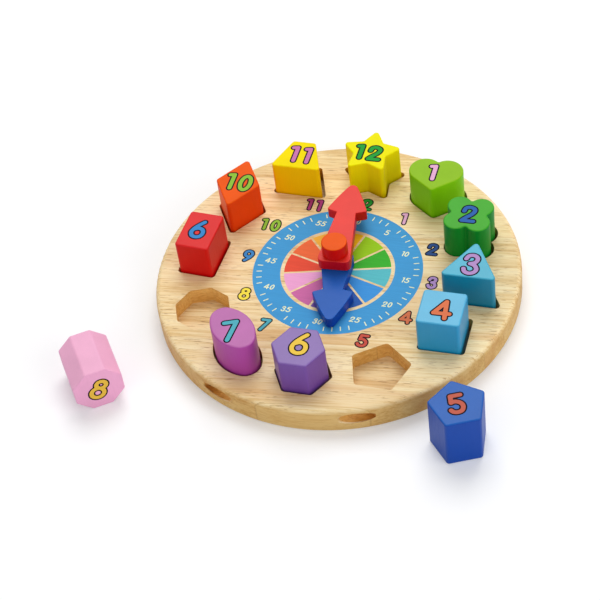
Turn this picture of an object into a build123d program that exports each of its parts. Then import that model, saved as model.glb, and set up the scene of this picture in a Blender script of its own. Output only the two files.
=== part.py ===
from build123d import *

import os
from math import acos, atan2, cos, degrees, hypot, radians, sin

# A wooden shape sorting clock: a round board lying on its back, twelve painted blocks
# for its twelve recesses, and two painted hands on a dowel under a knob.
# The origin is the centre of the board's back, +Y points at twelve o'clock, +X at three
# o'clock and +Z out of the dial. Lengths are millimetres and angles are degrees.

# Block outlines, each about the middle of its own block and upright on the dial
corner_round = 2.0
heart_lobe_radius = 10.0
heart_lobe_offset = 6.75
heart_lobe_height = 3.0
heart_tip_drop = 14.9
heart_notch_round = 1.2
clover_lobe_radius = 7.5
clover_lobe_offset = 6.5
clover_notch_round = 1.2
triangle_reach = 19.7
square_side = 25.5
pentagon_reach = 17.1
hexagon_reach = 16.0
oval_half_length = 17.6
oval_half_width = 11.6
oval_end_radius = 8.4
octagon_reach = 15.8
rectangle_width = 21.4
rectangle_height = 29.6
rhombus_half_width = 14.2
rhombus_half_height = 21.3
trapezoid_top = 14.5
trapezoid_base = 32.0
trapezoid_height = 24.0
star_reach = 20.0
star_notch_reach = 10.9

# Block bodies
block_stand = 23.0
block_edge_round = 1.0

# Board: recesses on a ring, then the rim outside them
recess_depth = 11.0
recess_gap = 1.3
recess_corner_round = 2.4
recess_floor = 6.0
block_land = 0.4
rim_wall = 5.7
board_top_round = 3.0
board_back_round = 2.4

# Slanted sockets in the rim, one each side of six o'clock
socket_radius = 4.0
socket_lower_wall = 6.5
socket_depth = 12.0

# Dowel in the middle, with the hands and the knob on it
dowel_radius = 4.0
dowel_cover = 5.0
dowel_end_chamfer = 0.5
knob_radius = 7.7
knob_height = 9.2
knob_bore_depth = 6.0
knob_edge_round = 0.7
glue_gap = 0.05
turn_gap = 0.08

# Hands: a tapered bar with a rounded square tail and an arrowhead
hand_thickness = 7.2
hand_gap = 0.4
minute_hand_inset = 21.2
hour_hand_length = 49.8
hand_tail = 7.5
hand_half_width = 9.8
hand_shoulder = 3.0
neck_half_width = 6.0
head_half_width = 12.4
head_length = 25.3
barb_sweep = 2.2
head_bulge = 0.7
tail_round = 3.2
barb_round = 1.2
tip_round = 3.2
hand_edge_round = 0.5

# Two blocks lie beside the board
loose_pentagon_gap = 12.0
loose_octagon_gap = 24.5

# Angles
full_turn = 360.0
oval_tilt = 139.0
octagon_rest_turn = full_turn / 8 / 2
socket_place = 21.5
socket_pair_turn = -1.0
socket_slant = 21.0
minute_hand_angle = 4.9
hour_hand_angle = 190.6
loose_pentagon_direction = -45.3
loose_pentagon_turn = 26.0
loose_octagon_direction = -139.5
loose_octagon_axis = -53.0

# The middle of each recess as hours round the dial, how far outside the ring it lies as
# a share of the rim's wall, and how far the recess and its block are turned
hour_share = {
    "heart": 1.08,
    "clover": 2.03,
    "triangle": 3.027,
    "square": 3.873,
    "pentagon": 4.904,
    "hexagon": 5.927,
    "oval": 6.899,
    "octagon": 7.895,
    "rectangle": 8.895,
    "rhombus": 9.952,
    "trapezoid": 10.978,
    "star": 11.991,
}
outset_share = {
    "heart": 0.0,
    "clover": 0.0,
    "triangle": 0.05,
    "square": 0.12,
    "pentagon": -0.18,
    "hexagon": -0.16,
    "oval": 0.33,
    "octagon": 0.16,
    "rectangle": 0.07,
    "rhombus": 0.11,
    "trapezoid": 0.0,
    "star": -0.19,
}
outline_turn = {
    "heart": 3.0,
    "clover": 2.0,
    "triangle": 2.0,
    "square": 2.0,
    "pentagon": 0.5,
    "hexagon": 2.0,
    "oval": 0.0,
    "octagon": 1.6,
    "rectangle": -1.5,
    "rhombus": 0.0,
    "trapezoid": 1.5,
    "star": 2.0,
}

# Where each block stands in its recess, as shares of the gap round it: how far to the
# right of the recess's middle, and how far towards twelve o'clock
play_share = {
    "heart": (-0.23, -0.23),
    "clover": (-0.38, -0.54),
    "triangle": (-0.38, -0.23),
    "square": (-0.69, -0.31),
    "hexagon": (-0.54, 0.08),
    "oval": (-0.08, 0.08),
    "rectangle": (0.0, -0.15),
    "rhombus": (0.0, -0.23),
    "trapezoid": (-0.46, -0.38),
    "star": (0.15, 0.0),
}

# Worked out from the sizes above
hour_step = full_turn / len(hour_share)
block_height = recess_depth + block_stand
block_reach = max(
    heart_lobe_offset + heart_lobe_radius,
    clover_lobe_offset * 2 ** 0.5 + clover_lobe_radius,
    triangle_reach,
    square_side / 2 ** 0.5,
    pentagon_reach,
    hexagon_reach,
    oval_half_length,
    octagon_reach,
    hypot(rectangle_width, rectangle_height) / 2,
    rhombus_half_height,
    hypot(trapezoid_base, trapezoid_height) / 2,
    star_reach,
)
ring_radius = (2 * block_reach + block_land) / (2 * sin(radians(hour_step / 2)))
board_radius = ring_radius + block_reach + rim_wall
board_thickness = recess_floor + recess_depth
minute_hand_length = ring_radius - minute_hand_inset
hour_hand_base = board_thickness + hand_gap
minute_hand_base = hour_hand_base + hand_thickness + hand_gap
knob_base = minute_hand_base + hand_thickness + hand_gap


def regular(reach, sides):
    """A regular outline with one corner at the top."""
    return RegularPolygon(reach, sides, major_radius=True, rotation=full_turn / 4)


def heart():
    """Two round lobes over a tip, with sides that run on as tangents of the lobes."""
    reach = hypot(heart_lobe_offset, heart_lobe_height + heart_tip_drop)
    lean = degrees(atan2(heart_lobe_height + heart_tip_drop, heart_lobe_offset))
    turn = degrees(acos(heart_lobe_radius / reach))
    foot = radians(lean + full_turn / 2 + turn)
    touch_x = heart_lobe_offset + heart_lobe_radius * cos(foot)
    touch_y = heart_lobe_height + heart_lobe_radius * sin(foot)
    middle = Polygon(
        (0, -heart_tip_drop),
        (touch_x, touch_y),
        (heart_lobe_offset, heart_lobe_height),
        (-heart_lobe_offset, heart_lobe_height),
        (-touch_x, touch_y),
        align=None,
    )
    lobes = [
        Pos(side * heart_lobe_offset, heart_lobe_height) * Circle(heart_lobe_radius)
        for side in (-1, 1)
    ]
    outline = middle + lobes
    on_axis = outline.vertices().filter_by_position(Axis.X, -glue_gap, glue_gap)
    tip, notch = on_axis.sort_by(Axis.Y)
    outline = fillet(tip, corner_round)
    notch = outline.vertices().sort_by_distance(notch)[0]
    return fillet(notch, heart_notch_round)


def clover():
    """Four round lobes that overlap, with rounded notches between them."""
    outline = Rectangle(2 * clover_lobe_offset, 2 * clover_lobe_offset)
    for x_side in (-1, 1):
        for y_side in (-1, 1):
            place = Pos(x_side * clover_lobe_offset, y_side * clover_lobe_offset)
            outline += place * Circle(clover_lobe_radius)
    return fillet(outline.vertices(), clover_notch_round)


def oval():
    """An oval of four arcs that meet smoothly, with its long axis leaning."""
    end_x = oval_half_length - oval_end_radius
    rise = oval_half_width - oval_end_radius
    side_radius = (end_x ** 2 + oval_half_width ** 2 - oval_end_radius ** 2) / (2 * rise)
    side_drop = side_radius - oval_half_width
    share = side_radius / hypot(end_x, side_drop)
    meet_x = end_x * share
    meet_y = side_drop * share - side_drop
    arcs = [
        ThreePointArc((-meet_x, meet_y), (0, oval_half_width), (meet_x, meet_y)),
        ThreePointArc((meet_x, meet_y), (oval_half_length, 0), (meet_x, -meet_y)),
        ThreePointArc((meet_x, -meet_y), (0, -oval_half_width), (-meet_x, -meet_y)),
        ThreePointArc((-meet_x, -meet_y), (-oval_half_length, 0), (-meet_x, meet_y)),
    ]
    return Rot(0, 0, oval_tilt) * make_face(arcs)


def rhombus():
    """A rhombus that stands on a corner."""
    return Polygon(
        (0, -rhombus_half_height),
        (rhombus_half_width, 0),
        (0, rhombus_half_height),
        (-rhombus_half_width, 0),
        align=None,
    )


def trapezoid():
    """A symmetrical trapezoid with its long side down."""
    return Polygon(
        (-trapezoid_base / 2, -trapezoid_height / 2),
        (trapezoid_base / 2, -trapezoid_height / 2),
        (trapezoid_top / 2, trapezoid_height / 2),
        (-trapezoid_top / 2, trapezoid_height / 2),
        align=None,
    )


def star():
    """A five-pointed star with one point at the top."""
    points = regular(star_reach, 5)
    notches = Rot(0, 0, full_turn / 2) * regular(star_notch_reach, 5)
    corners = [*points.vertices(), *notches.vertices()]
    corners.sort(key=lambda corner: atan2(corner.Y, corner.X))
    return Polygon(*[(corner.X, corner.Y) for corner in corners], align=None)


# Straight-sided outlines with sharp corners, and curved ones
straight_outlines = {
    "triangle": regular(triangle_reach, 3),
    "square": Rectangle(square_side, square_side),
    "pentagon": regular(pentagon_reach, 5),
    "hexagon": Rot(0, 0, full_turn / 12) * regular(hexagon_reach, 6),
    "octagon": regular(octagon_reach, 8),
    "rectangle": Rectangle(rectangle_width, rectangle_height),
    "rhombus": rhombus(),
    "trapezoid": trapezoid(),
    "star": star(),
}
curved_outlines = {"heart": heart(), "clover": clover(), "oval": oval()}


def block_outline(name):
    """The outline of a block, with its corners rounded."""
    if name in curved_outlines:
        return curved_outlines[name]
    outline = straight_outlines[name]
    return fillet(outline.vertices(), corner_round)


def recess_outline(name):
    """The outline of a recess, a gap larger all round than its block."""
    if name in curved_outlines:
        return offset(curved_outlines[name], recess_gap)
    outline = offset(straight_outlines[name], recess_gap, kind=Kind.INTERSECTION)
    return fillet(outline.vertices(), recess_corner_round)


def on_ring(name):
    """The place of a recess's middle on the board, at the height of the recess floors."""
    angle = radians(full_turn / 4 - hour_share[name] * hour_step)
    radius = ring_radius + outset_share[name] * rim_wall
    place = Pos(radius * cos(angle), radius * sin(angle), recess_floor)
    return place * Rot(0, 0, outline_turn[name])


def block(name):
    """One block standing on the origin plane, with its edges eased."""
    body = extrude(block_outline(name), block_height)
    ends = body.faces().filter_by(Axis.Z)
    return fillet(ends.edges(), block_edge_round)


def polar(radius, angle):
    """A place on the table at a distance and a direction from the board's middle."""
    return Pos(radius * cos(radians(angle)), radius * sin(radians(angle)))


def loose_pentagon():
    """The pentagon block standing beside the board."""
    away = board_radius + loose_pentagon_gap + pentagon_reach
    place = polar(away, loose_pentagon_direction) * Rot(0, 0, loose_pentagon_turn)
    return place * block("pentagon")


def loose_octagon():
    """The octagon block lying on one of its sides, with its numbered end to the front."""
    away = board_radius + loose_octagon_gap + hypot(block_height / 2, octagon_reach)
    flat_side = octagon_reach * cos(radians(octagon_rest_turn))
    lying = Rot(full_turn / 4, 0, 0) * Rot(0, 0, octagon_rest_turn) * Pos(0, 0, -block_height / 2)
    heading = Rot(0, 0, loose_octagon_axis + full_turn / 4)
    place = polar(away, loose_octagon_direction) * Pos(0, 0, flat_side)
    return place * heading * lying * block("octagon")


def socket(side):
    """A blind round hole that enters the rim at a slant, on one side of six o'clock."""
    height = socket_lower_wall + socket_radius
    down = -full_turn / 4
    place = polar(board_radius, down + side * socket_place + socket_pair_turn)
    heading = side * (socket_place + socket_slant) + socket_pair_turn
    overrun = 2 * socket_depth
    length = overrun + socket_depth
    bar = Cylinder(socket_radius, length, align=(Align.CENTER, Align.CENTER, Align.MIN))
    bar = Rot(0, side * full_turn / 4, 0) * Pos(0, 0, -overrun) * bar
    return Pos(0, 0, height) * place * Rot(0, 0, heading) * bar


def base_disc():
    """The board with its recesses, the hole for the dowel and the sockets in its rim."""
    board = extrude(Circle(board_radius), board_thickness)
    board = fillet(board.edges().sort_by(Axis.Z)[-1], board_top_round)
    board = fillet(board.edges().sort_by(Axis.Z)[0], board_back_round)
    overrun = board_thickness
    cuts = [
        on_ring(name) * extrude(recess_outline(name), recess_depth + overrun)
        for name in hour_share
    ]
    seat = Circle(dowel_radius + glue_gap)
    cuts.append(Pos(0, 0, dowel_cover) * extrude(seat, board_thickness + overrun))
    cuts += [socket(side) for side in (-1, 1)]
    for cut in cuts:
        board -= cut
    return board


def axle_dowel():
    """The dowel, glued into the board below and into the knob above."""
    length = knob_base + knob_bore_depth - glue_gap - dowel_cover
    dowel = extrude(Circle(dowel_radius), length)
    dowel = chamfer(dowel.edges().filter_by(GeomType.CIRCLE), dowel_end_chamfer)
    return Pos(0, 0, dowel_cover) * dowel


def centre_knob():
    """The round knob with a blind hole for the dowel."""
    knob = extrude(Circle(knob_radius), knob_height)
    knob = fillet(knob.edges().filter_by(GeomType.CIRCLE), knob_edge_round)
    knob -= extrude(Circle(dowel_radius + glue_gap), knob_bore_depth)
    return Pos(0, 0, knob_base) * knob


def hand(length):
    """A hand that points at +Y from its hole, lying on the origin plane."""
    barb = length - head_length
    neck = barb - barb_sweep
    half = Polyline(
        (0, -hand_tail),
        (hand_half_width, -hand_tail),
        (hand_half_width, -hand_shoulder),
        (neck_half_width, neck),
        (head_half_width, barb),
    )
    middle_y = (barb + length) / 2
    bulge_x = head_half_width / 2 + head_bulge
    side = ThreePointArc((head_half_width, barb), (bulge_x, middle_y), (0, length))
    closing = Line((0, length), (0, -hand_tail))
    right = make_face([half, side, closing])
    outline = right + mirror(right, Plane.YZ)
    tail = outline.vertices().filter_by_position(Axis.Y, -hand_tail - tip_round, -hand_tail / 2)
    tail = tail.sort_by(lambda corner: abs(corner.X))[-2:]
    outline = fillet(tail, tail_round)
    tip = outline.vertices().sort_by(Axis.Y)[-1]
    outline = fillet(tip, tip_round)
    barbs = outline.vertices().sort_by(lambda corner: abs(corner.X))[-2:]
    outline = fillet(barbs, barb_round)
    body = extrude(outline, hand_thickness)
    ends = body.faces().filter_by(Axis.Z)
    body = fillet(ends.edges(), hand_edge_round)
    return body - extrude(Circle(dowel_radius + turn_gap), hand_thickness)


os.makedirs("parts", exist_ok=True)

pieces = {
    "base_disc": base_disc(),
    "axle_dowel": axle_dowel(),
    "centre_knob": centre_knob(),
    "hour_hand": Pos(0, 0, hour_hand_base) * Rot(0, 0, hour_hand_angle) * hand(hour_hand_length),
    "minute_hand": Pos(0, 0, minute_hand_base)
    * Rot(0, 0, minute_hand_angle)
    * hand(minute_hand_length),
}
for hour, name in enumerate(hour_share, start=1):
    node = f"block_{hour:02d}_{name}"
    if name == "pentagon":
        pieces[node] = loose_pentagon()
    elif name == "octagon":
        pieces[node] = loose_octagon()
    else:
        right, up = play_share[name]
        pieces[node] = Pos(right * recess_gap, up * recess_gap) * on_ring(name) * block(name)

for name, piece in pieces.items():
    export_step(piece, f"parts/{name}.step")

print("ring radius", round(ring_radius, 2), "board radius", round(board_radius, 2))
print("minute hand length", round(minute_hand_length, 2), "block height", round(block_height, 2))
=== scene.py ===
from math import asin, cos, pi, radians, sin

import bpy
import numpy as np
from mathutils import Matrix, Vector
from mathutils.geometry import delaunay_2d_cdt


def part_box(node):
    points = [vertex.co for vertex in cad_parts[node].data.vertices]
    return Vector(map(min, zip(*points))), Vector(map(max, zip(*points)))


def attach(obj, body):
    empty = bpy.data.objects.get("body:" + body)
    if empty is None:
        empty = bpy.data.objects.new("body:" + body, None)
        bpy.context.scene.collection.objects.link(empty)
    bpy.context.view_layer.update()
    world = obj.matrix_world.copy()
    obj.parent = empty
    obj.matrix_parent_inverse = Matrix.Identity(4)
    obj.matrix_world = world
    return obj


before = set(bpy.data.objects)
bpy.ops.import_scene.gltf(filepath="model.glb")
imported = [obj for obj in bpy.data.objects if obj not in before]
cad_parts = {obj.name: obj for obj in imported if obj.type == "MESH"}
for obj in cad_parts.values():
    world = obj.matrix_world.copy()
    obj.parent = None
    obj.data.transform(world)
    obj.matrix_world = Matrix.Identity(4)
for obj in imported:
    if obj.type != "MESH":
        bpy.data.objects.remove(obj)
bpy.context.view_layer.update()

# Lengths are metres in the frame of the solids: the origin is the centre of the board's
# back, +Y points at twelve o'clock and +Z out of the dial.
mm = 0.001
board_low, board_high = (Vector(corner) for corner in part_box("base_disc"))
board_radius = (board_high.x - board_low.x) / 2
board_top = board_high.z

# Dial print, measured from the middle of the board
ring_outer = 51.4 * mm
ring_inner = 34.6 * mm
wheel_outer = 32.3 * mm
wheel_inner = 5.0 * mm
wheel_gap = 1.3 * mm
tick_middle = 47.5 * mm
tick_length = 3.3 * mm
tick_width = 0.62 * mm
minute_radius = 42.2 * mm
minute_height = 4.2 * mm
hour_height = 11.3 * mm

# Ink: how far each layer stands proud of the one under it, the thickness of its film, and
# the distance within which points of an outline are one
ink_lift = 0.03 * mm
ink_depth = 0.08 * mm
weld = 0.0001 * mm

# Round pens that draw the numbers: the radius, the dark border round it, and the clear space
# between two digits. The minutes' numbers lean by a share of their height.
block_pen = (1.3 * mm, 0.85 * mm, 1.2 * mm)
hour_pen = (0.92 * mm, 0.75 * mm, 1.1 * mm)
minute_pen = (0.33 * mm, 0.0, 0.5 * mm)
minute_lean_share = 0.2

# The grid that a number's outline is traced on: its cell, as a share of the strokes' height,
# and its clear margin, as a share of the pen's reach
cell_share = 0.024
margin_share = 1.3

# Board: the height of its recesses' floors, the radius of its rim's edges, how deep under its rim and faces
# a point counts as being on them, and how far in from the rim the painted shade on the walls starts to
# become the deeper painted shade of the sockets, and has become it
recess_floor = 6.0 * mm
rim_round = 3.0 * mm
rim_skin = 0.45 * mm
socket_start = 2.6 * rim_round
socket_full = 1.6 * rim_round

# Wood: staves glued edge to edge, their grain turned a little from X. From one stave to the
# next, the patterns are moved by some steps of their noise along the grain and across it,
# and the tone lies somewhere in a range.
grain_turn = radians(8.0)
stave_width = 46.0 * mm
stave_joint = -59.1 * mm
stave_seam = 0.22 * mm
stave_shift = (7.3, 3.1)
stave_tones = (0.93, 1.03)

# Wood's patterns: steps per millimetre along the grain, across it and up
broad_steps = (0.008, 0.10, 0.10)
fine_steps = (0.03, 0.8, 0.8)
tan_steps = (0.0055, 0.055, 0.055)
fleck_steps = (0.15, 1.6, 1.6)
cluster_steps = (0.03, 0.15, 0.15)

# Where in its noise each pattern starts and where it is full, and how strongly it shows
tan_range = (0.55, 0.74)
fleck_range = (0.58, 0.70)
cluster_range = (0.34, 0.56)
broad_share = 0.44
fine_share = 0.56
tan_strength = 0.50
pore_strength = 0.72
pore_on_walls = 0.35
seam_strength = 0.30
# How strongly the rim's upright faces take their tint of painted shade
rim_shade_strength = 0.9
streak_dark = 0.40
streak_middle = 0.48
streak_light = 0.58

# How upright a surface's normal is where a pattern, or a tint of painted shade, changes: from its first
# value to its last one
pore_upright = (0.3, 0.8)
rim_shade_upright = (0.85, 0.25)
side_shade_upright = (0.35, 0.85)

# Spans of a noise value: wide for roughness, and narrow for tone
wide_span = (0.3, 0.7)
narrow_span = (0.35, 0.65)

# Paint and ink: steps per millimetre, shares of the patterns, and ranges of tone
cloud_steps = (0.06, 0.06, 0.03)
sanding_steps = (1.3, 1.3, 0.10)
peel_steps = (1.1, 1.1, 1.1)
print_steps = (0.05, 1.1, 1.1)
cloud_share = 0.7
sanding_share = 0.3
peel_share = 0.7
paint_tones = (0.94, 1.04)
ink_tones = (0.95, 1.03)

# Roughness, which changes with the grain on wood and paint, and strength of the gloss
wood_rough = (0.50, 0.40)
paint_rough = (0.43, 0.34)
ink_rough = 0.45
wood_gloss = 0.2
ink_gloss = 0.04
ring_gloss = 0.1

# Height of the relief of each surface, and how deep pores and seams lie in the wood's
wood_relief = 0.05 * mm
paint_relief = 0.02 * mm
ink_relief = 0.02 * mm
pore_depth = 0.7
seam_depth = 0.5


def srgb(red, green, blue):
    """A colour given in screen values of 0 to 255, as the linear values that shaders use."""
    linear = []
    for value in (red, green, blue):
        share = value / 255
        linear.append(share / 12.92 if share <= 0.04045 else ((share + 0.055) / 1.055) ** 2.4)
    return (*linear, 1.0)


def toned(colour, tone):
    """A colour multiplied by a tone."""
    channels = (min(1.0, tone * channel) for channel in colour[:3])
    return (*channels, 1.0)


# Each painted piece: its colour on the top, a deeper copy of it on its sides, which is painted shade, and
# how strongly its paint shines
PAINTS_WITH_SHADED_SIDES = {
    "block_01_heart": (srgb(139, 187, 26), srgb(126, 198, 4), 0.10),
    "block_02_clover": (srgb(62, 164, 36), srgb(4, 132, 36), 0.15),
    "block_03_triangle": (srgb(48, 166, 195), srgb(0, 133, 167), 0.42),
    "block_04_square": (srgb(72, 170, 209), srgb(20, 147, 198), 0.44),
    "block_05_pentagon": (srgb(19, 89, 174), srgb(10, 68, 164), 0.22),
    "block_06_hexagon": (srgb(127, 97, 167), srgb(110, 68, 156), 0.36),
    "block_07_oval": (srgb(180, 98, 165), srgb(171, 66, 158), 0.27),
    "block_08_octagon": (srgb(237, 173, 205), srgb(239, 171, 207), 0.20),
    "block_09_rectangle": (srgb(216, 26, 26), srgb(208, 8, 8), 0.18),
    "block_10_rhombus": (srgb(235, 87, 6), srgb(237, 69, 8), 0.07),
    "block_11_trapezoid": (srgb(244, 220, 0), srgb(250, 202, 0), 0.04),
    "block_12_star": (srgb(239, 231, 0), srgb(243, 222, 0), 0.06),
    "hour_hand": (srgb(18, 86, 175), srgb(7, 61, 163), 0.17),
    "minute_hand": (srgb(225, 50, 40), srgb(199, 4, 16), 0.22),
    "centre_knob": (srgb(234, 87, 4), srgb(217, 14, 0), 0.09),
}

# Inks by hour: of the numbers, of those that differ on the dial or on a block, and of the
# dial's sectors
NUMERAL_INKS = {
    1: srgb(228, 172, 208),
    2: srgb(50, 100, 172),
    3: srgb(178, 142, 198),
    4: srgb(218, 118, 80),
    5: srgb(200, 84, 70),
    6: srgb(236, 198, 78),
    7: srgb(84, 174, 190),
    8: srgb(244, 224, 76),
    9: srgb(64, 136, 200),
    10: srgb(142, 190, 62),
    11: srgb(200, 118, 172),
    12: srgb(40, 158, 60),
}
DIAL_INKS = {2: srgb(46, 78, 136), 11: srgb(172, 66, 128)}
BLOCK_INKS = {5: srgb(192, 98, 82), 8: srgb(232, 188, 72)}
WHEEL_INKS = {
    1: srgb(150, 202, 34),
    2: srgb(62, 176, 52),
    3: srgb(92, 190, 200),
    4: srgb(66, 150, 222),
    5: srgb(48, 96, 176),
    6: srgb(118, 88, 172),
    7: srgb(206, 110, 168),
    8: srgb(238, 166, 212),
    9: srgb(232, 84, 62),
    10: srgb(240, 112, 66),
    11: srgb(242, 180, 66),
    12: srgb(246, 198, 34),
}

# The wood's colours, the tints that multiply them as painted shade on the rim, in the recesses and in the
# sockets, and the other inks
WOOD_LIGHT = srgb(248, 227, 181)
WOOD_MIDDLE = srgb(239, 212, 159)
WOOD_DARK = srgb(224, 189, 130)
WOOD_TAN = srgb(216, 164, 102)
WOOD_PORE = srgb(150, 98, 48)
RIM_SHADE_TINT = srgb(228, 205, 158)
CUT_SHADE_TINT = srgb(244, 220, 168)
SOCKET_SHADE_TINT = srgb(226, 182, 116)
RING_INK = srgb(62, 153, 212)
PALE_INK = srgb(238, 244, 196)
OUTLINE_INK = srgb(14, 10, 24)


def add_node(tree, kind, inputs=(), **settings):
    """Adds a shader node, sets its options, and sets or links its inputs by name or number."""
    node = tree.nodes.new(kind)
    for name, value in settings.items():
        setattr(node, name, value)
    for name, value in dict(inputs).items():
        if isinstance(value, bpy.types.NodeSocket):
            tree.links.new(value, node.inputs[name])
        else:
            node.inputs[name].default_value = value
    return node


def math_node(tree, operation, *values):
    """A Math node's result for numbers or sockets."""
    inputs = dict(enumerate(values))
    return add_node(tree, "ShaderNodeMath", inputs, operation=operation).outputs[0]


def mix_colour(tree, share, first, second, blend="MIX"):
    """One colour mixed into another by a share."""
    inputs = {"Factor": share, 6: first, 7: second}
    node = add_node(tree, "ShaderNodeMix", inputs, data_type="RGBA", blend_type=blend)
    return node.outputs[2]


def object_place(tree):
    """A point's place in the frame of the solids, which moves with its piece."""
    return add_node(tree, "ShaderNodeTexCoord").outputs["Object"]


def stretched(tree, place, per_mm):
    """Coordinates scaled along each axis by a number of steps per millimetre."""
    scale = tuple(steps / mm for steps in per_mm)
    inputs = {"Vector": place, "Scale": scale}
    return add_node(tree, "ShaderNodeMapping", inputs).outputs["Vector"]


def noise(tree, vector, detail=3.0, rough=0.5, bend=0.0):
    """A noise value at those coordinates."""
    inputs = {"Vector": vector, "Scale": 1.0, "Detail": detail, "Roughness": rough, "Distortion": bend}
    return add_node(tree, "ShaderNodeTexNoise", inputs).outputs["Fac"]


def remap(tree, value, low, high, to_low=0.0, to_high=1.0):
    """A value's range, stretched and clamped."""
    inputs = {"Value": value, 1: low, 2: high, 3: to_low, 4: to_high}
    return add_node(tree, "ShaderNodeMapRange", inputs).outputs["Result"]


def new_material(name):
    """A material with its node tree and its main shader."""
    material = bpy.data.materials.new(name)
    material.use_nodes = True
    tree = material.node_tree
    return material, tree, tree.nodes["Principled BSDF"]


def weighted_sum(tree, first, first_share, second, second_share):
    """Two values added by their shares."""
    part = math_node(tree, "MULTIPLY", first, first_share)
    return math_node(tree, "ADD", part, math_node(tree, "MULTIPLY", second, second_share))


def shaded(tree, colour, share):
    """A colour made darker or lighter by a share."""
    grey = add_node(tree, "ShaderNodeCombineColor", {"Red": share, "Green": share, "Blue": share})
    return mix_colour(tree, 1.0, colour, grey.outputs["Color"], "MULTIPLY")


def upright_share(tree):
    """1 where a surface faces up or down, and 0 on a wall."""
    normal = add_node(tree, "ShaderNodeNewGeometry").outputs["Normal"]
    z = add_node(tree, "ShaderNodeSeparateXYZ", {"Vector": normal}).outputs["Z"]
    return math_node(tree, "ABSOLUTE", z)


def bump(tree, shader, height, distance):
    """Raises the surface by a height value."""
    inputs = {"Height": height, "Distance": distance, "Strength": 1.0}
    normal = add_node(tree, "ShaderNodeBump", inputs).outputs["Normal"]
    tree.links.new(normal, shader.inputs["Normal"])


def wood_place(tree):
    """Coordinates turned so that X runs along the grain."""
    inputs = {"Vector": object_place(tree), "Angle": -grain_turn}
    return add_node(tree, "ShaderNodeVectorRotate", inputs, rotation_type="Z_AXIS").outputs["Vector"]


def staves(tree, place):
    """The glued staves: each one's number, its tone from 0 to 1, and 1 on the seams between them."""
    y = add_node(tree, "ShaderNodeSeparateXYZ", {"Vector": place}).outputs["Y"]
    count = math_node(tree, "DIVIDE", math_node(tree, "SUBTRACT", y, stave_joint), stave_width)
    stave = math_node(tree, "FLOOR", count)
    share = math_node(tree, "FRACT", count)
    edge = math_node(tree, "MINIMUM", share, math_node(tree, "SUBTRACT", 1.0, share))
    seam = remap(tree, edge, 0.0, stave_seam / stave_width, 1.0, 0.0)
    tone = add_node(tree, "ShaderNodeTexWhiteNoise", {"W": stave}, noise_dimensions="1D").outputs["Value"]
    return stave, tone, seam


def wood_grain(tree, place, stave):
    """Rubberwood's streaks, tan bands and pores, from 0 to 1, with a pattern of its own in each stave."""
    shift_x, shift_y = (math_node(tree, "MULTIPLY", stave, steps) for steps in stave_shift)
    offset = add_node(tree, "ShaderNodeCombineXYZ", {"X": shift_x, "Y": shift_y}).outputs["Vector"]

    def along(per_mm):
        moved = add_node(tree, "ShaderNodeVectorMath", {0: stretched(tree, place, per_mm), 1: offset})
        return moved.outputs["Vector"]

    broad = noise(tree, along(broad_steps), detail=3.0, rough=0.55, bend=0.6)
    fine = noise(tree, along(fine_steps), detail=4.0, rough=0.65, bend=0.2)
    streaks = weighted_sum(tree, broad, broad_share, fine, fine_share)
    tan = remap(tree, noise(tree, along(tan_steps), detail=2.0, bend=0.9), *tan_range)
    flecks = remap(tree, noise(tree, along(fleck_steps), detail=2.0), *fleck_range)
    clusters = remap(tree, noise(tree, along(cluster_steps), detail=1.0), *cluster_range)
    return streaks, tan, math_node(tree, "MULTIPLY", flecks, clusters)


def cut_share(tree):
    """1 on walls cut into the board and 0 on its rim and faces; and 1 near the rim, where sockets are."""
    axes = add_node(tree, "ShaderNodeSeparateXYZ", {"Vector": object_place(tree)}).outputs
    span = math_node(tree, "MULTIPLY", axes["X"], axes["X"])
    span = math_node(tree, "ADD", span, math_node(tree, "MULTIPLY", axes["Y"], axes["Y"]))
    radius = math_node(tree, "SQRT", span)
    height = axes["Z"]
    round_start = board_top - rim_round
    outer = board_radius - rim_skin
    outermost = remap(tree, height, round_start - rim_skin, round_start + rim_skin, outer, outer - rim_round)
    share = remap(tree, math_node(tree, "SUBTRACT", outermost, radius), 0.0, rim_skin)
    above_floor = remap(tree, height, recess_floor, recess_floor + 0.5 * rim_skin)
    under_top = remap(tree, height, board_top, board_top - 0.5 * rim_skin)
    share = math_node(tree, "MULTIPLY", share, above_floor)
    share = math_node(tree, "MULTIPLY", share, under_top)
    near_rim = remap(tree, radius, board_radius - socket_start, board_radius - socket_full)
    return share, near_rim


def streak_colour(tree, streaks):
    """The wood's colour over its streaks."""
    ramp = add_node(tree, "ShaderNodeValToRGB", {"Fac": streaks})
    ramp.color_ramp.elements[0].position = streak_dark
    ramp.color_ramp.elements[0].color = WOOD_DARK
    ramp.color_ramp.elements[1].position = streak_light
    ramp.color_ramp.elements[1].color = WOOD_LIGHT
    ramp.color_ramp.elements.new(streak_middle).color = WOOD_MIDDLE
    return ramp.outputs["Color"]


def wall_tints(tree, colour, upright):
    """The wood's colour with painted shade: darker and warmer on the board's rim, and darker and oranger on
    the walls cut into it and in its sockets.
    """
    cut, socket = cut_share(tree)
    # Painted shade on the rim's upright faces, weaker where walls are cut into the board
    rim = remap(tree, upright, *rim_shade_upright)
    rim = math_node(tree, "MULTIPLY", rim, math_node(tree, "SUBTRACT", rim_shade_strength, cut))
    colour = mix_colour(tree, rim, colour, RIM_SHADE_TINT, "MULTIPLY")
    # Painted shade on the walls of the recesses, deeper in the sockets
    cut_shade = mix_colour(tree, socket, CUT_SHADE_TINT, SOCKET_SHADE_TINT)
    return mix_colour(tree, cut, colour, cut_shade, "MULTIPLY")


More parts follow.
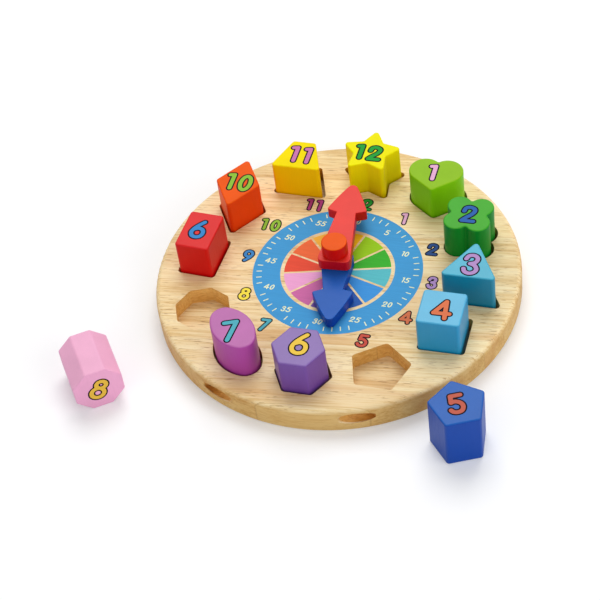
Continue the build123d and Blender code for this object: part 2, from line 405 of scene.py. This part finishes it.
def wood(name):
    """Lacquered rubberwood, glued up from staves."""
    material, tree, shader = new_material(name)
    place = wood_place(tree)
    stave, tone, seam = staves(tree, place)
    streaks, tan, pores = wood_grain(tree, place, stave)
    tan = math_node(tree, "MULTIPLY", tan, tan_strength)
    colour = mix_colour(tree, tan, streak_colour(tree, streaks), WOOD_TAN)
    colour = shaded(tree, colour, remap(tree, tone, 0.0, 1.0, *stave_tones))
    upright = upright_share(tree)
    pores = math_node(tree, "MULTIPLY", pores, remap(tree, upright, *pore_upright, pore_on_walls, 1.0))
    colour = mix_colour(tree, math_node(tree, "MULTIPLY", pores, pore_strength), colour, WOOD_PORE)
    colour = mix_colour(tree, math_node(tree, "MULTIPLY", seam, seam_strength), colour, WOOD_PORE)
    tree.links.new(wall_tints(tree, colour, upright), shader.inputs["Base Color"])
    tree.links.new(remap(tree, streaks, *wide_span, *wood_rough), shader.inputs["Roughness"])
    shader.inputs["Specular IOR Level"].default_value = wood_gloss
    relief = math_node(tree, "SUBTRACT", streaks, math_node(tree, "MULTIPLY", pores, pore_depth))
    relief = math_node(tree, "SUBTRACT", relief, math_node(tree, "MULTIPLY", seam, seam_depth))
    bump(tree, shader, relief, wood_relief)
    return material


def paint(name, top, side, gloss):
    """Satin paint over sanded wood, deeper in colour on the sides as painted shade, and a little uneven in
    tone.
    """
    material, tree, shader = new_material(name)
    place = object_place(tree)
    cloud = noise(tree, stretched(tree, place, cloud_steps), detail=3.0)
    sanding = noise(tree, stretched(tree, place, sanding_steps), detail=3.0, rough=0.6)
    peel = noise(tree, stretched(tree, place, peel_steps), detail=2.0)
    tone = weighted_sum(tree, cloud, cloud_share, sanding, sanding_share)
    # Painted shade: the deeper copy of the paint on surfaces that face sideways, the top's colour on those
    # that face up
    colour = mix_colour(tree, remap(tree, upright_share(tree), *side_shade_upright), side, top)
    colour = shaded(tree, colour, remap(tree, tone, *narrow_span, *paint_tones))
    tree.links.new(colour, shader.inputs["Base Color"])
    tree.links.new(remap(tree, sanding, *wide_span, *paint_rough), shader.inputs["Roughness"])
    shader.inputs["Specular IOR Level"].default_value = gloss
    bump(tree, shader, weighted_sum(tree, sanding, sanding_share, peel, peel_share), paint_relief)
    return material


def ink(name, colour, gloss=ink_gloss):
    """Screen-printed ink: even, with a little of the wood's grain showing in it."""
    material, tree, shader = new_material(name)
    grain = noise(tree, stretched(tree, object_place(tree), print_steps), detail=3.0, rough=0.6)
    deep, pale = (toned(colour, tone) for tone in ink_tones)
    shade = mix_colour(tree, remap(tree, grain, *narrow_span), deep, pale)
    tree.links.new(shade, shader.inputs["Base Color"])
    shader.inputs["Roughness"].default_value = ink_rough
    shader.inputs["Specular IOR Level"].default_value = gloss
    bump(tree, shader, grain, ink_relief)
    return material


def smooth_path(points, closed):
    """A rounded line through points, with eight short steps between each two."""
    steps = 8
    count = len(points)
    spans = count if closed else count - 1
    path = []
    for index in range(spans):
        if closed:
            four = [points[(index + shift) % count] for shift in (-1, 0, 1, 2)]
        else:
            four = [points[min(max(index + shift, 0), count - 1)] for shift in (-1, 0, 1, 2)]
        before, start, end, after = (np.array(point) for point in four)
        for step in range(steps):
            t = step / steps
            path.append(
                0.5 * (2 * start + (end - before) * t
                       + (2 * before - 5 * start + 4 * end - after) * t ** 2
                       + (3 * start - 3 * end + after - before) * t ** 3)
            )
    path.append(np.array(points[0 if closed else -1]))
    return np.array(path)


def ellipse_points(x, y, wide, high):
    """Eight points round an ellipse."""
    turns = [index * pi / 4 for index in range(8)]
    return [(x + wide * cos(turn), y + high * sin(turn)) for turn in turns]


# Each digit as pen strokes: points in shares of the strokes' height, rounded, closed
SIX = [(0.43, 1.0), (0.224, 0.767), (0.073, 0.539), (0.0, 0.297), (0.082, 0.082), (0.279, 0.0)]
SIX += [(0.484, 0.082), (0.557, 0.288), (0.484, 0.493), (0.279, 0.575), (0.082, 0.484)]
DIGIT_SHARES = {
    "0": [(ellipse_points(0.25, 0.50, 0.25, 0.50), True, True)],
    "1": [([(0.0, 0.95), (0.22, 1.0), (0.24, 0.0)], False, False)],
    "2": [
        ([(0.0, 0.68), (0.06, 0.92), (0.28, 1.0), (0.50, 0.90), (0.53, 0.72), (0.415, 0.49),
          (0.185, 0.236), (0.015, 0.0)], True, False),
        ([(0.015, 0.0), (0.60, 0.026)], False, False),
    ],
    "3": [
        ([(0.0, 0.765), (0.073, 0.935), (0.247, 1.0), (0.41, 0.927), (0.457, 0.765), (0.38, 0.61),
          (0.206, 0.526)], True, False),
        ([(0.206, 0.526), (0.41, 0.45), (0.514, 0.255), (0.437, 0.073), (0.255, 0.0), (0.073, 0.069),
          (0.004, 0.219)], True, False),
    ],
    "4": [([(0.558, 0.0), (0.442, 1.0), (0.0, 0.249), (0.714, 0.295)], False, False)],
    "5": [
        ([(0.598, 1.0), (0.129, 1.0), (0.09, 0.61)], False, False),
        ([(0.09, 0.61), (0.296, 0.648), (0.53, 0.508), (0.598, 0.285), (0.49, 0.061), (0.268, 0.0),
          (0.084, 0.061), (0.0, 0.173)], True, False),
    ],
    "6": [(SIX, True, False)],
    "7": [([(0.0, 0.983), (0.53, 1.0), (0.073, 0.0)], False, False)],
    "8": [
        (ellipse_points(0.294, 0.79, 0.224, 0.21), True, True),
        (ellipse_points(0.294, 0.289, 0.294, 0.289), True, True),
    ],
    "9": [([(0.557 - x, 1.0 - y) for x, y in SIX], True, False)],
}


def pen_lines(text, height, gap, lean_share):
    """The straight pieces of a number's pen strokes, about the number's middle."""
    cursor = 0.0
    lines = []
    for digit in text:
        strokes = DIGIT_SHARES[digit]
        for points, rounded, closed in strokes:
            path = smooth_path(points, closed) if rounded else np.array(points)
            path = path * height + np.array([cursor, 0.0])
            lines += list(zip(path[:-1], path[1:]))
        cursor += max(x for points, _, _ in strokes for x, _ in points) * height + gap
    lines = np.array(lines)
    lines[..., 0] += lean_share * lines[..., 1]
    return lines - np.array([(cursor - gap + lean_share * height) / 2, height / 2])


def distance_field(lines, margin, cell):
    """Distances from a grid of points to the nearest pen line: (xs, ys, distances)."""
    low = lines.reshape(-1, 2).min(axis=0) - margin
    high = lines.reshape(-1, 2).max(axis=0) + margin
    xs = np.arange(low[0], high[0] + cell, cell)
    ys = np.arange(low[1], high[1] + cell, cell)
    grid = np.stack(np.meshgrid(xs, ys, indexing="ij"), axis=-1)
    nearest = np.full(grid.shape[:2], np.inf)
    for start, end in lines:
        along = end - start
        length = float(along @ along)
        share = np.clip(((grid - start) @ along) / length, 0.0, 1.0)
        gap = grid - start - share[..., None] * along
        nearest = np.minimum(nearest, np.sqrt((gap ** 2).sum(axis=-1)))
    return xs, ys, nearest


def crossed_sides(corners, inside):
    """The sides of a grid's cell where going round it leaves the inside, and those where it comes back."""
    exits, entries = [], []
    for here, there in zip(corners, corners[1:] + corners[:1]):
        if inside[here] and not inside[there]:
            exits.append((here, there))
        elif inside[there] and not inside[here]:
            entries.append((here, there))
    return exits, entries


def contours(xs, ys, field, level):
    """Closed outlines of the area where the field is under a level."""
    inside = field < level
    links = {}
    spots = {}

    def crossing(side):
        key = tuple(sorted(side))
        if key not in spots:
            first, second = side
            share = (level - field[first]) / (field[second] - field[first])
            start = np.array([xs[first[0]], ys[first[1]]])
            end = np.array([xs[second[0]], ys[second[1]]])
            spots[key] = start + share * (end - start)
        return key

    for i in range(len(xs) - 1):
        for j in range(len(ys) - 1):
            corners = [(i, j), (i + 1, j), (i + 1, j + 1), (i, j + 1)]
            exits, entries = crossed_sides(corners, inside)
            for start, end in zip(exits, entries):
                links[crossing(start)] = crossing(end)
    loops = []
    while links:
        first, spot = links.popitem()
        loop = [spots[first]]
        while spot != first:
            loop.append(spots[spot])
            spot = links.pop(spot)
        loops.append(loop)
    return loops


def sheet_mesh(name, loops, place):
    """A flat mesh that fills closed outlines, holes left open, moved into place."""
    points = []
    outlines = []
    for loop in loops:
        first = len(points)
        points += [Vector((float(x), float(y))) for x, y in loop]
        outlines.append(list(range(first, len(points))))
    inside_with_holes = 2
    result = delaunay_2d_cdt(points, [], outlines, inside_with_holes, weld)
    mesh = bpy.data.meshes.new(name)
    mesh.from_pydata([place @ point.to_3d() for point in result[0]], [], result[2])
    return mesh


def printed(name, mesh, material, body):
    """A printed area: a thin film of ink that rides on a body."""
    obj = bpy.data.objects.new(name, mesh)
    bpy.context.scene.collection.objects.link(obj)
    mesh.materials.append(material)
    film = obj.modifiers.new("film", "SOLIDIFY")
    film.thickness = ink_depth
    film.offset = -1.0
    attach(obj, body)


def print_number(name, text, height, place, body, pen, fill, outline=None, lean_share=0.0):
    """Prints a number with a round pen: a dark border first, and the coloured fill on it."""
    radius, border, space = pen
    reach = radius + border
    gap = space + 2 * reach
    stroke_height = height - 2 * reach
    lines = pen_lines(text, stroke_height, gap, lean_share)
    field = distance_field(lines, margin_share * reach, cell_share * stroke_height)
    if outline:
        mesh = sheet_mesh(name + "_border", contours(*field, reach), place)
        printed(name + "_border", mesh, outline, body)
    lift = Matrix.Translation((0, 0, ink_lift if outline else 0))
    mesh = sheet_mesh(name, contours(*field, radius), place @ lift)
    printed(name, mesh, fill, body)


def dial_point(radius, hours, height):
    """A point at a radius and an hour of the dial."""
    angle = pi / 2 - hours * pi / 6
    return Vector((radius * cos(angle), radius * sin(angle), height))


def band_mesh(name, inner, outer, height, start=0.0, end=12.0, steps=192, side_gap=0.0):
    """A flat band between two radii and two hours, drawn in from its straight sides by a gap."""
    points, faces = [], []
    for index in range(steps + 1):
        for radius in (inner, outer):
            # The side gap at this radius, in hours
            trim = asin(side_gap / radius) * 6 / pi
            hours = start + trim + (end - start - 2 * trim) * index / steps
            points.append(dial_point(radius, hours, height))
    for index in range(steps):
        a = 2 * index
        faces.append((a, a + 2, a + 3, a + 1))
    mesh = bpy.data.meshes.new(name)
    mesh.from_pydata(points, [], faces)
    return mesh


def tick_mesh(name, height):
    """A short mark for each minute that has no number."""
    points, faces = [], []
    for minute in range(60):
        if minute % 5 == 0:
            continue
        middle = dial_point(tick_middle, minute / 5, height)
        out = dial_point(1.0, minute / 5, 0.0)
        side = Vector((-out.y, out.x, 0.0)) * tick_width / 2
        half = out * tick_length / 2
        base = len(points)
        points += [middle - half - side, middle + half - side]
        points += [middle + half + side, middle - half + side]
        faces.append((base, base + 1, base + 2, base + 3))
    mesh = bpy.data.meshes.new(name)
    mesh.from_pydata(points, [], faces)
    return mesh


def build_sectors(height):
    """The twelve coloured sectors of the dial, with bare wood between."""
    for hour, colour in WHEEL_INKS.items():
        name = f"dial_sector_{hour:02d}"
        hours = (hour - 0.5, hour + 0.5)
        mesh = band_mesh(name, wheel_inner, wheel_outer, height, *hours, steps=16, side_gap=wheel_gap / 2)
        printed(name, mesh, ink(f"ink_sector_{hour:02d}", colour), "board")


def build_dial():
    """The printed dial: the sectors, and round them a blue minute ring with its marks and numbers."""
    first = board_top + ink_lift
    second = first + ink_lift
    blue = ink("ink_ring_blue", RING_INK, ring_gloss)
    pale = ink("ink_pale", PALE_INK, ring_gloss)
    printed("dial_minute_ring", band_mesh("dial_minute_ring", ring_inner, ring_outer, first), blue, "board")
    build_sectors(first)
    printed("dial_ticks", tick_mesh("dial_ticks", second), pale, "board")
    for minute in range(5, 65, 5):
        name = f"dial_minute_{minute:02d}"
        place = Matrix.Translation(dial_point(minute_radius, minute / 5, second))
        print_number(name, str(minute), minute_height, place, "board", minute_pen, pale,
                     lean_share=minute_lean_share)


# Middle of each hour's number: its distance from the board's middle, then how far it is
# moved right and up from its hour
HOUR_PLACES = {
    1: (57.9 * mm, (-0.9 * mm, 0.3 * mm)),
    2: (58.7 * mm, (1.1 * mm, -1.4 * mm)),
    3: (57.8 * mm, (0.4 * mm, 1.1 * mm)),
    4: (57.4 * mm, (0.3 * mm, -0.1 * mm)),
    5: (59.4 * mm, (0.0, 0.0)),
    6: (58.4 * mm, (0.0, 0.0)),
    7: (59.3 * mm, (-0.3 * mm, 0.3 * mm)),
    8: (57.1 * mm, (0.2 * mm, -1.1 * mm)),
    9: (57.1 * mm, (0.0, 1.1 * mm)),
    10: (59.5 * mm, (-0.1 * mm, -0.3 * mm)),
    11: (59.8 * mm, (-0.2 * mm, -0.1 * mm)),
    12: (57.9 * mm, (-0.6 * mm, 0.0)),
}


def with_own_inks(fills, name, colours):
    """The numbers' inks, with some of them replaced where a number is printed in its own colour."""
    own = {hour: ink(f"ink_{name}_{hour:02d}", colour) for hour, colour in colours.items()}
    return {**fills, **own}


def build_hour_numbers(fills, outline):
    """The hour numbers printed on the board, between the minute ring and the blocks."""
    fills = with_own_inks(fills, "dial", DIAL_INKS)
    for hour, (radius, (x, y)) in HOUR_PLACES.items():
        name = f"dial_hour_{hour:02d}"
        place = Matrix.Translation(dial_point(radius, hour, board_top + ink_lift) + Vector((x, y, 0.0)))
        print_number(name, str(hour), hour_height, place, "board", hour_pen, fills[hour], outline)


# Number on each block: its height, how far its middle lies right and up of the block's,
# and how far it is turned
BLOCK_NUMBERS = {
    "block_01_heart": (15.8 * mm, (-1.9 * mm, 1.0 * mm), 0.0),
    "block_02_clover": (16.0 * mm, (0.5 * mm, -0.7 * mm), 0.0),
    "block_03_triangle": (18.8 * mm, (-0.1 * mm, -3.3 * mm), 0.0),
    "block_04_square": (17.0 * mm, (0.9 * mm, -1.6 * mm), 0.0),
    "block_05_pentagon": (16.0 * mm, (0.0, 0.0), 26.0),
    "block_06_hexagon": (18.4 * mm, (0.7 * mm, 2.0 * mm), 0.0),
    "block_07_oval": (17.6 * mm, (0.2 * mm, -3.0 * mm), 21.0),
    "block_08_octagon": (17.2 * mm, (0.0, 0.0), -28.0),
    "block_09_rectangle": (17.2 * mm, (-0.6 * mm, 0.4 * mm), 180.0),
    "block_10_rhombus": (16.4 * mm, (0.8 * mm, 0.0), 0.0),
    "block_11_trapezoid": (16.4 * mm, (0.1 * mm, 0.0), 0.0),
    "block_12_star": (15.2 * mm, (-0.5 * mm, -2.9 * mm), 0.0),
}

# The octagon lies on its side, and its numbered end faces this way from +X
loose_octagon_axis = radians(-53.0)


def block_face(node):
    """The frame of a block's numbered end: its middle, with Z out of the block."""
    low, high = (Vector(corner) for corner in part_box(node))
    middle = (low + high) / 2
    if node != "block_08_octagon":
        return Matrix.Translation((middle.x, middle.y, high.z + ink_lift))
    # All blocks are equally long, so the upright pentagon gives the octagon's length
    upright_low, upright_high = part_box("block_05_pentagon")
    reach = (upright_high[2] - upright_low[2]) / 2
    heading = Vector((cos(loose_octagon_axis), sin(loose_octagon_axis), 0.0))
    up = Vector((0, 0, 1))
    turn = Matrix((up.cross(heading), up, heading)).transposed().to_4x4()
    return Matrix.Translation(middle + heading * (reach + ink_lift)) @ turn


def build_block_numbers(fills, outline):
    """The number printed on one end of each block."""
    fills = with_own_inks(fills, "block", BLOCK_INKS)
    for node, (height, (x, y), turn) in BLOCK_NUMBERS.items():
        hour = int(node.split("_")[1])
        name = node.replace("block", "number")
        place = block_face(node) @ Matrix.Translation((x, y, 0)) @ Matrix.Rotation(radians(turn), 4, "Z")
        print_number(name, str(hour), height, place, node, block_pen, fills[hour], outline)


def dress_nodes():
    """Gives each solid its material."""
    board_wood = wood("lacquered_rubberwood")
    for name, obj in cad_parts.items():
        material = paint("paint_" + name, *PAINTS_WITH_SHADED_SIDES[name]) if name in PAINTS_WITH_SHADED_SIDES else board_wood
        obj.data.materials.clear()
        obj.data.materials.append(material)


# Camera: measured from the photograph by fitting the board's rim and dial. Its angles are
# in degrees, and its focal length and image in pixels.
camera_azimuth = 21.71
camera_elevation = 46.54
camera_roll = -7.54
camera_place = Vector((260.2, -672.9, 757.6)) * mm
focal_pixels = 1723.1
image_width = 600
principal_pixel = (328.8, 295.4)
sensor_mm = 36.0
near_clip = 0.01


def build_camera():
    """The camera at the photograph's place, angle and focal length."""
    turn, lift, roll = (radians(angle) for angle in (camera_azimuth, camera_elevation, camera_roll))
    back = Vector((sin(turn) * cos(lift), -cos(turn) * cos(lift), sin(lift)))
    right = Vector((cos(turn), sin(turn), 0.0))
    up = back.cross(right)
    rolled_right = right * cos(roll) + up * sin(roll)
    rolled_up = up * cos(roll) - right * sin(roll)
    data = bpy.data.cameras.new("camera")
    data.sensor_width = sensor_mm
    data.lens = sensor_mm * focal_pixels / image_width
    data.shift_x = (image_width / 2 - principal_pixel[0]) / image_width
    data.shift_y = (principal_pixel[1] - image_width / 2) / image_width
    data.clip_start = near_clip
    camera = bpy.data.objects.new("camera", data)
    matrix = Matrix((rolled_right, rolled_up, back)).transposed().to_4x4()
    camera.matrix_world = Matrix.Translation(camera_place) @ matrix
    bpy.context.scene.collection.objects.link(camera)
    bpy.context.scene.camera = camera


# Floor: half its width, and how strongly it glows for the camera alone, near the clock and
# far from it; the glow's distances are in radii of the board
floor_reach = 3.0
FLOOR_WHITE = (0.80, 0.807, 0.822, 1.0)
floor_rough = 0.9
glow_near = 0.20
glow_far = 1.0
glow_distances = (2.5, 12.0)

# White surround: its strength as a light, and as the camera and reflections see it
surround_light = 0.4
surround_seen = 1.0

# Square soft lights, all aimed at one point: place, width, power in watts and colour
light_aim = Vector((0.0, 0.0, 0.02))
LIGHTS = {
    "key": (Vector((-0.30, 1.45, 2.50)), 2.0, 53.0, (1.0, 0.99, 0.97)),
    "side": (Vector((2.3, -0.8, 1.1)), 2.4, 28.0, (1.0, 1.0, 1.0)),
    "fill": (Vector((-0.7, -2.4, 1.0)), 2.0, 14.0, (1.0, 1.0, 1.0)),
}


def build_lights():
    """The soft lights of the studio."""
    for name, (place, width, power, colour) in LIGHTS.items():
        data = bpy.data.lights.new(name, "AREA")
        data.size = width
        data.energy = power
        data.color = colour
        light = bpy.data.objects.new(name, data)
        heading = (light_aim - place).to_track_quat("-Z", "Y")
        light.matrix_world = Matrix.Translation(place) @ heading.to_matrix().to_4x4()
        bpy.context.scene.collection.objects.link(light)


def floor_material():
    """Matt white that keeps the shadows, and glows for the camera alone, more so far away."""
    material, tree, shader = new_material("white_floor")
    shader.inputs["Base Color"].default_value = FLOOR_WHITE
    shader.inputs["Roughness"].default_value = floor_rough
    shader.inputs["Specular IOR Level"].default_value = 0.0
    place = {0: object_place(tree)}
    distance = add_node(tree, "ShaderNodeVectorMath", place, operation="LENGTH").outputs["Value"]
    near, far = (share * board_radius for share in glow_distances)
    strength = remap(tree, distance, near, far, glow_near, glow_far)
    seen = add_node(tree, "ShaderNodeLightPath").outputs["Is Camera Ray"]
    glow = add_node(tree, "ShaderNodeEmission", {"Strength": math_node(tree, "MULTIPLY", seen, strength)})
    both = add_node(tree, "ShaderNodeAddShader", {0: shader.outputs[0], 1: glow.outputs[0]})
    tree.links.new(both.outputs[0], tree.nodes["Material Output"].inputs["Surface"])
    return material


def build_floor():
    """A plain white floor under the clock."""
    mesh = bpy.data.meshes.new("floor")
    corners = [(x * floor_reach, y * floor_reach, 0) for x, y in ((-1, -1), (1, -1), (1, 1), (-1, 1))]
    mesh.from_pydata(corners, [], [(0, 1, 2, 3)])
    mesh.materials.append(floor_material())
    floor = bpy.data.objects.new("floor", mesh)
    bpy.context.scene.collection.objects.link(floor)


def build_surround():
    """A white surround, weaker as a light than as the camera sees it."""
    world = bpy.data.worlds.new("surround")
    bpy.context.scene.world = world
    world.use_nodes = True
    tree = world.node_tree
    background = tree.nodes["Background"]
    background.inputs["Color"].default_value = (1.0, 1.0, 1.0, 1.0)
    path = add_node(tree, "ShaderNodeLightPath").outputs
    direct = math_node(tree, "MAXIMUM", path["Is Camera Ray"], path["Is Glossy Ray"])
    direct = math_node(tree, "MAXIMUM", direct, path["Is Transmission Ray"])
    strength = remap(tree, direct, 0.0, 1.0, surround_light, surround_seen)
    tree.links.new(strength, background.inputs["Strength"])


dress_nodes()
outline_ink = ink("ink_outline", OUTLINE_INK)
number_inks = {hour: ink(f"ink_number_{hour:02d}", colour) for hour, colour in NUMERAL_INKS.items()}
build_dial()
build_hour_numbers(number_inks, outline_ink)
build_block_numbers(number_inks, outline_ink)
build_floor()
build_surround()
build_lights()
build_camera()

scene = bpy.context.scene
scene.view_settings.view_transform = "Standard"

bpy.context.view_layer.update()
